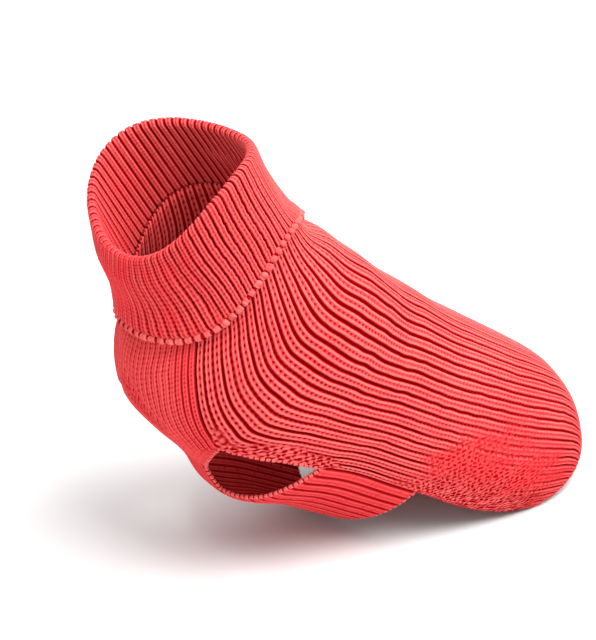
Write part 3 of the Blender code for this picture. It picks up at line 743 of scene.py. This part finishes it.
# rows go up the outer layer, over the fold and down the inside; lean is how far the ribs beside the
# throat lean towards the spine at the cast-off edge, as a share of half the way round
rollCollar = {
    "ribs": 70, "places": (0, 0.1, 0.28, 0.41, 0.5, 0.59, 0.72, 0.9), "depth": 55, "halfRound": 180,
    "outerStitches": 20, "foldRows": 7, "insideRows": 22, "hiddenRows": 4,
    "grooveDepth": 2.0, "creaseDepth": 0.4, "pitDepth": 0.4, "loopHeight": 0.14, "uneven": 0.12,
    "mossDepth": 0.5, "mossRelief": 0.3, "proud": 0.25, "rolledReach": 2.6, "rolledDepth": 1.3,
    "wobble": 0.32, "wobbleStart": 40, "calmEnds": (0.0, 0.1, 0.86, 1.0), "foldSqueeze": 0.35,
    "insideRelief": 1.3, "insideDepth": 0.5, "insideSharpness": 2.5, "hiddenDepth": 0.1, "hiddenFold": 0.3,
    "lean": 0.045, "leanPlace": 0.74, "leanWidth": 0.2, "leanEnd": (0.88, 0.99),
    "outerPits": 0.55, "innerPits": 0.4, "flat": 0.12, "throatFlatAndShade": 0.5, "throatWidth": 0.42, "unevenFlat": 0.2,
}
# folds on the collar: start and end as mm above the cast-off edge and round from the spine
collarCreases = (
    (6, 46, 46, 30, 8.0, 0.8, 0.5),
    (2, 84, 40, 96, 7.0, 0.9, 0.6),
    (14, 120, 50, 132, 8.0, 0.8, -0.5),
    (8, -50, 44, -34, 8.0, 0.8, -0.5),
    (4, -90, 42, -104, 7.5, 0.9, -0.6),
    (16, -128, 48, -138, 8.0, 0.7, 0.5),
    (10, 4, 48, -8, 9.0, 0.5, 0.4),
    (42, 132, 3, 123, 2.6, 1.2, 0.3),
    (38, -126, 6, -120, 2.8, 0.9, -0.3),
)


def makeCollar():
    look = rollCollar
    rib = ribPlaces(look["ribs"], look["places"])
    place = 2 * rib / look["ribs"] - 1
    last = len(collarRings) - 1
    double = innerDepth + cloth["foldGap"]
    whole = double + cloth["wall"]
    tiny = 0.02

    def wrapped(share):  # round places past the ends carry on from the other end
        return (share + 1) % 2 - 1

    def leaning(height):  # the ribs on both sides of the throat lean towards the spine lower down
        beside = spot(np.abs(place), look["leanPlace"], look["leanWidth"])
        beside = beside * (1 - softStep(*look["leanEnd"], np.abs(place)))
        return place - look["lean"] * (1 - height) * beside * np.sign(place)

    def outerLayer(height, share, depth):
        return onSkin(collarSkin, (1 - height) * last + 0 * share, share, depth)

    def uphill(skin, share):
        above, _ = readSkin(skin, 0 * share, share)
        below, _ = readSkin(skin, 0 * share + tiny, share)
        step = above - below
        return step / np.linalg.norm(step, axis=-1, keepdims=True)

    def folded(turn, share, depth):  # turn is in degrees from the outer layer to the inner one
        radius = whole / 2 - depth
        inward = whole / 2 - radius * np.cos(np.radians(turn))
        rise = radius * np.sin(np.radians(turn))
        return outerLayer(1.0, share, inward) + uphill(collarSkin, share) * rise[..., None]

    def innerLayer(height, share, depth):
        seam = onSkin(bodySkin, 0 * share, share, depth) + uphill(bodySkin, share) * cloth["neckGap"]
        top = outerLayer(1.0, share, double + depth)
        return seam + (top - seam) * height

    def bareRibs(stitch):
        return ribRelief(rib, stitch + 0 * rib, look["outerPits"], 0, look)

    def foldsAt(height):
        return creaseField(collarCreases, height * look["depth"] + 0 * rib, place * look["halfRound"])

    made = []

    def addRow(points, stitch, pit):
        made.append((points, stitch + 0 * rib, pit + 0 * rib))

    rows = 2 * look["outerStitches"]
    for row in range(rows):
        height, stitch = row / rows, row / 2
        fold, pull = foldsAt(height)
        wobble = softNoise(17, rib % look["ribs"], stitch + look["wobbleStart"] + 0 * rib, 1.0, 2.4)
        pull = pull + look["wobble"] * wobble
        calm = between(*look["calmEnds"], height)
        depth = rolledEdge(bareRibs(stitch), height * look["depth"], look) + fold * calm
        side = wrapped(leaning(height) + pull * calm / look["halfRound"])
        addRow(outerLayer(height, side, depth), stitch, look["outerPits"])
    start = rows / 2
    for number in range(look["foldRows"]):
        turn = 180 * number / look["foldRows"]
        stitch = start + number / 2
        squeeze = 1 - look["foldSqueeze"] * math.sin(math.radians(turn))
        addRow(folded(turn, wrapped(place), bareRibs(stitch) * squeeze), stitch, look["innerPits"])
    start = start + look["foldRows"] / 2
    ridge = np.abs(2 * (rib % 1) - 1) ** look["insideSharpness"]
    for number in range(look["insideRows"] + 1):
        height = 1 - number / look["insideRows"]
        stitch = start + number
        depth = cloth["wall"] + look["insideDepth"] - look["insideRelief"] * ridge
        addRow(innerLayer(height, wrapped(place), depth), stitch, look["innerPits"])
    for number in range(look["hiddenRows"]):  # out of sight: the inner layer's back, then the outer one's
        height = number / (look["hiddenRows"] - 1)
        addRow(innerLayer(height, wrapped(place), 0 * rib), stitch + number, 0)
    for number in range(look["hiddenRows"]):
        height = 1 - number / (look["hiddenRows"] - 1)
        fold, _ = foldsAt(height)
        fold = np.minimum(fold, look["hiddenFold"]) * between(*look["calmEnds"], height)
        under = innerDepth - look["hiddenDepth"] + fold
        addRow(outerLayer(height, wrapped(leaning(height)), under), stitch + number, 0)

    points, stitches, pits = [np.array(values) for values in zip(*made)]
    ribs = np.broadcast_to(rib, stitches.shape)
    points[:, -1] = points[:, 0]
    ids = numbered(points)
    faces = cells(np.concatenate([ids, ids[:1]])).reshape(-1, 4)[:, ::-1].tolist()
    # the throat side is flatter and dashed, and gets more of the open red: partly the cloth's look, partly painted
    # shade on that side
    throat = spot(np.abs(ribs / look["ribs"] * 2 - 1), 1.0, look["throatWidth"])
    flat = look["flat"] + look["throatFlatAndShade"] * throat
    flat = flat + look["unevenFlat"] * softNoise(29, ribs, stitches, 1.0, 5.0)
    values = {"rib": ribs.ravel(), "stitch": stitches.ravel(), "pit": pits.ravel(),
              "moss": 0 * ribs.ravel(), "flat": flat.ravel()}
    piece = finishMesh("collarKnit", points.reshape(-1, 3), faces, values)
    piece.data.materials.append(collarYarn)
    return piece, points


collarPiece, collarGrid = makeCollar()

# sizes are shares of a chain's radius, places run from 0 on the cloth's inside to 1 on its outside,
# and collarDrop is in mm below the edge
edgeChain = {
    "sides": 8, "rings": 8, "waist": 0.6, "reach": 0.46, "irregular": 0.12, "endSize": 0.35,
    "guide": (0.31, 0.17, 0.93),
    "rumpPlace": 0.85, "collarPlace": 1.15, "collarDrop": 1.3, "bellyPlace": 0.5, "holePlace": 0.8,
}
# beads in each chain, its radius in mm, and the seed for the beads' sizes
chainBeads = {
    "rumpHemChain": (90, 1.5, 31), "collarEdgeChain": (70, 2.2, 32), "bellyHemChain": (44, 1.25, 33),
    "leftLegHoleChain": (60, 1.25, 34), "rightLegHoleChain": (60, 1.25, 35),
}


def makeChain(name, path, closed):
    # path is a line of points in mm, and a bead stands over each stitch that was cast off
    look = edgeChain
    beads, radius, seed = chainBeads[name]
    path = np.array(path)
    if closed:
        path = np.concatenate([path, path[:1]])
    steps = np.linalg.norm(np.diff(path, axis=0), axis=-1)
    walked = np.concatenate([[0], np.cumsum(steps)])
    share = np.linspace(0, walked[-1], beads * look["rings"] + 1)
    line = np.stack([np.interp(share, walked, path[:, k]) for k in range(3)], axis=-1)
    if closed:
        line = line[:-1]
        ahead = np.roll(line, -1, axis=0) - np.roll(line, 1, axis=0)
    else:
        ahead = np.gradient(line, axis=0)
    ahead /= np.linalg.norm(ahead, axis=-1, keepdims=True)
    side = np.cross(ahead, np.array(look["guide"]))  # no chain runs along the guide
    side /= np.linalg.norm(side, axis=-1, keepdims=True)
    up = np.cross(side, ahead)
    turn = np.linspace(0, 2 * np.pi, look["sides"] + 1)[:-1]
    number = np.arange(len(line)) / look["rings"]
    beat = np.sqrt(np.clip(1 - (((number % 1) - 0.5) / look["reach"]) ** 2, 0, 1))
    uneven = np.random.default_rng(seed).uniform(-1, 1, beads + 1)[number.astype(int)]
    size = radius * (1 - look["waist"] * (1 - beat)) * (1 + look["irregular"] * uneven)
    if not closed:
        size[0] = size[-1] = radius * look["endSize"]
    ringsOfPoints = line[:, None] + size[:, None, None] * (
        np.cos(turn)[None, :, None] * side[:, None] + np.sin(turn)[None, :, None] * up[:, None])
    ids = numbered(ringsOfPoints)
    ids = np.concatenate([ids, ids[:, :1]], axis=1)
    if closed:
        ids = np.concatenate([ids, ids[:1]])
    faces = cells(ids.T).transpose(1, 0, 2).reshape(-1, 4)[:, ::-1].tolist()
    if not closed:
        faces += [ids[0, :-1].tolist(), ids[-1, :-1].tolist()[::-1]]
    number = np.repeat(number, look["sides"])
    values = dict.fromkeys(pointValues, 0 * number)
    # the bead count stands in for the rib, so painted groove shade falls in the waists between beads
    values.update(rib=number, stitch=number * 2 + 0.5)
    piece = finishMesh(name, ringsOfPoints.reshape(-1, 3), faces, values)
    piece.data.materials.append(chainYarn)
    return piece


def throughCloth(outer, inner, share):
    return outer * share + inner * (1 - share)


hemEdge = throughCloth(backOuter[-1, :: backPanel["columnStep"]], backInner[-1], edgeChain["rumpPlace"])
hemChain = makeChain("rumpHemChain", hemEdge, False)
below = collarGrid[0, :-1] - collarGrid[2, :-1]
below = below / np.linalg.norm(below, axis=-1, keepdims=True)
collarEdge = throughCloth(collarGrid[0, :-1], collarGrid[-1, :-1], edgeChain["collarPlace"])
collarChain = makeChain("collarEdgeChain", collarEdge + below * edgeChain["collarDrop"], True)
bellyEdge = throughCloth(chestOuter[-1, :: chestPanel["columnStep"]], chestInner[-1], edgeChain["bellyPlace"])
bellyChain = makeChain("bellyHemChain", bellyEdge, False)


def holeLine(side):  # round one leg hole: on the chest panel first, then back along the back panel
    look = chestPanel
    step, skip = look["rowStep"], look["columnStep"]
    first = look["chestRows"]
    rear = first + look["stripRows"]
    columns = chestOuter.shape[1]
    strip = look["stripRibs"] * len(look["places"])
    middle = columns // 2
    seam, inner = (0, middle - strip) if side < 0 else (columns - 1, middle + strip)
    across = list(range(seam, inner - side, -side * skip))

    def centre(row, column):
        near = chestInner[row // step, column // skip]
        return throughCloth(chestOuter[row, column], near, edgeChain["holePlace"])

    line = [centre(first, c) for c in across]
    line += [centre(r, across[-1]) for r in range(first + step, rear, step)]
    line += [centre(rear, c) for c in across[::-1]]
    panelEdge = 0 if side < 0 else -1
    outerEdge = backOuter[:: backPanel["rowStep"], panelEdge]
    edgePoints = throughCloth(outerEdge, backInner[:, panelEdge], edgeChain["holePlace"])
    start = np.argmin(np.linalg.norm(edgePoints - line[0], axis=1))
    stop = np.argmin(np.linalg.norm(edgePoints - line[-1], axis=1))
    return np.array(line + list(edgePoints[stop - 1 : start : -1]))


leftHoleChain = makeChain("leftLegHoleChain", holeLine(1), True)
rightHoleChain = makeChain("rightLegHoleChain", holeLine(-1), True)
print("edges cast off")

for piece, nodes in (
    (collarPiece, ["collar"]), (backPiece, ["back_panel"]), (chestPiece, ["chest_and_belly_panel"]),
):
    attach(piece, "root")
    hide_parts(*nodes)
for piece in (hemChain, collarChain, bellyChain, leftHoleChain, rightHoleChain):
    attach(piece, "root")

# sizes and places in m, angles in degrees
studio = {
    "floor": -0.1838, "floorSize": 12, "floorColour": (0.62, 0.62, 0.62), "floorRoughness": 0.9,
    "world": 0.46, "middle": (0.04, 0, -0.06),
    "sensor": 24, "lens": 61.365, "camera": (-0.46936, -0.71258, 0.28973), "tilt": 68, "turn": -33,
}
# each light's place, what it shines at, its width and depth, and its power in W
softboxes = {
    "ceilingSoftbox": ((0.6, 0.8, 2.4), (0.6, 0.8, 0), (4.5, 4.5), 105.0),
    "keySoftbox": ((0.42, -0.98, 1.64), studio["middle"], (1.6, 1.6), 80.0),
    "fillSoftbox": ((-0.9, -0.7, 0.35), studio["middle"], (0.8, 0.8), 4.0),
}

bpy.ops.mesh.primitive_plane_add(size=studio["floorSize"], location=(0, 0, studio["floor"]))
floor = bpy.context.object
floor.name = "studioFloor"
bpy.ops.object.transform_apply(location=True, rotation=True, scale=True)
floorPaint = bpy.data.materials.new("paleFloor")
floorPaint.use_nodes = True
paint = floorPaint.node_tree.nodes["Principled BSDF"]
paint.inputs["Base Color"].default_value = (*studio["floorColour"], 1)
paint.inputs["Roughness"].default_value = studio["floorRoughness"]
floor.data.materials.append(floorPaint)

world = bpy.data.worlds.new("studioWorld")
world.use_nodes = True
backdrop = world.node_tree.nodes["Background"]
backdrop.inputs["Color"].default_value = (1, 1, 1, 1)
backdrop.inputs["Strength"].default_value = studio["world"]
bpy.context.scene.world = world


def addSoftbox(name, place, target, size, power):
    lamp = bpy.data.lights.new(name, "AREA")
    lamp.shape = "RECTANGLE"
    lamp.size, lamp.size_y = size
    lamp.energy = power
    light = bpy.data.objects.new(name, lamp)
    bpy.context.collection.objects.link(light)
    x, y, z = np.array(target) - np.array(place)
    light.location = place
    light.rotation_euler = (math.atan2(math.hypot(x, y), -z), 0, math.atan2(y, x) - math.pi / 2)


for name, values in softboxes.items():
    addSoftbox(name, *values)

view = bpy.data.cameras.new("studioCamera")
view.sensor_fit = "VERTICAL"
view.sensor_height = studio["sensor"]
view.lens = studio["lens"]
camera = bpy.data.objects.new("studioCamera", view)
bpy.context.collection.objects.link(camera)
camera.location = studio["camera"]
camera.rotation_euler = (math.radians(studio["tilt"]), 0, math.radians(studio["turn"]))
bpy.context.scene.camera = camera
bpy.context.scene.view_settings.view_transform = "Standard"
print("studio set")

bpy.context.view_layer.update()
